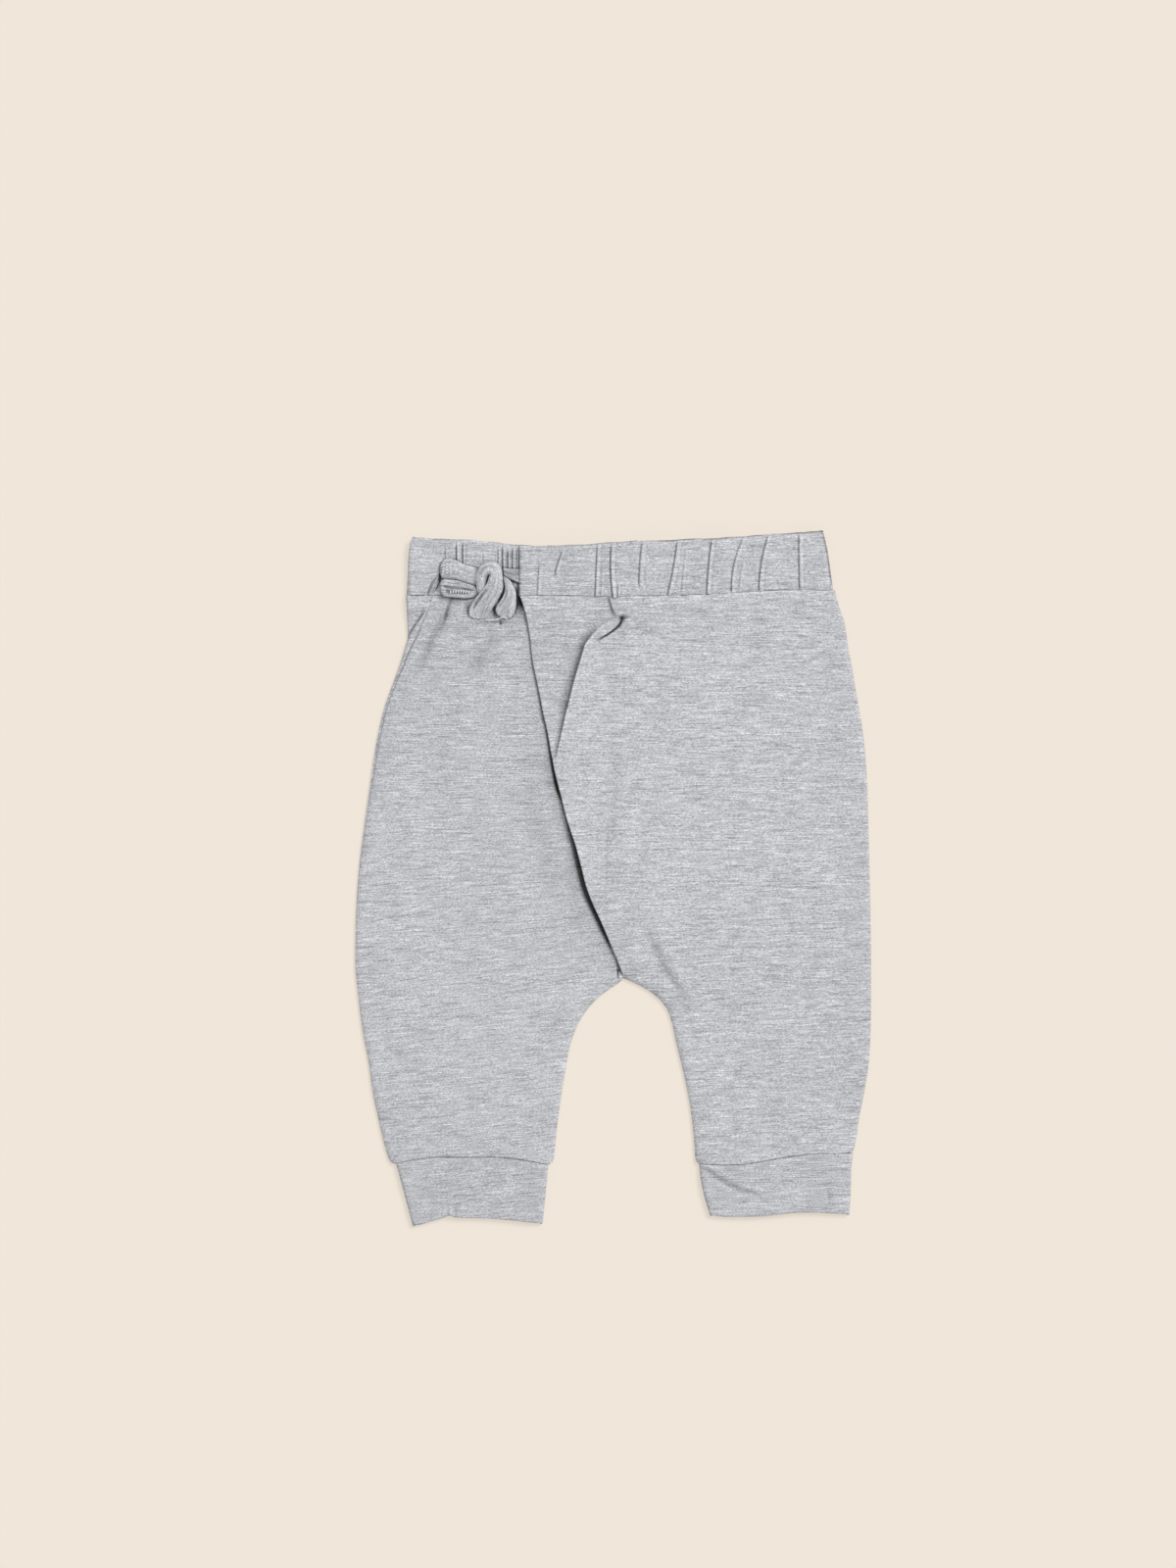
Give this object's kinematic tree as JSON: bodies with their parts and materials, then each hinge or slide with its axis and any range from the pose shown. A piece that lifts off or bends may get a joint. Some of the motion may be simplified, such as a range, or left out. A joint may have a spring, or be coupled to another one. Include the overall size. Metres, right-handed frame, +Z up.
{
  "type": "harem pants",
  "caption": "Baby's jersey harem pants laid flat, front up: lapped front with a tuck, dropped crotch, gathered elastic waistband tied at one side, ribless turned cuffs",
  "frame": {"origin": "on the surface the garment lies on, under the middle of its outline", "axes": "+X to the right of someone looking down on the front, +Y from the cuffs towards the waist, +Z up from the back to the front"},
  "size_m": [0.2633, 0.3548, 0.0126],
  "materials": {
    "jersey": "matte heathered slub knit",
    "band_jersey": "matte heathered slub knit over elastic",
    "cuff_jersey": "matte heathered slub knit, doubled",
    "tie_jersey": "matte heathered slub knit, rolled"
  },
  "bodies": {
    "root": {"back_left": "jersey", "back_right": "jersey", "front_left": "jersey", "front_wrap": "jersey", "waistband_back": "band_jersey", "waistband_left": "band_jersey", "waistband_wrap": "band_jersey", "cuff_left": "cuff_jersey", "cuff_right": "cuff_jersey", "tie_loop": "tie_jersey", "tie_knot": "tie_jersey", "tie_short_tail": "tie_jersey", "tie_strap": "tie_jersey"}
  },
  "joints": []
}
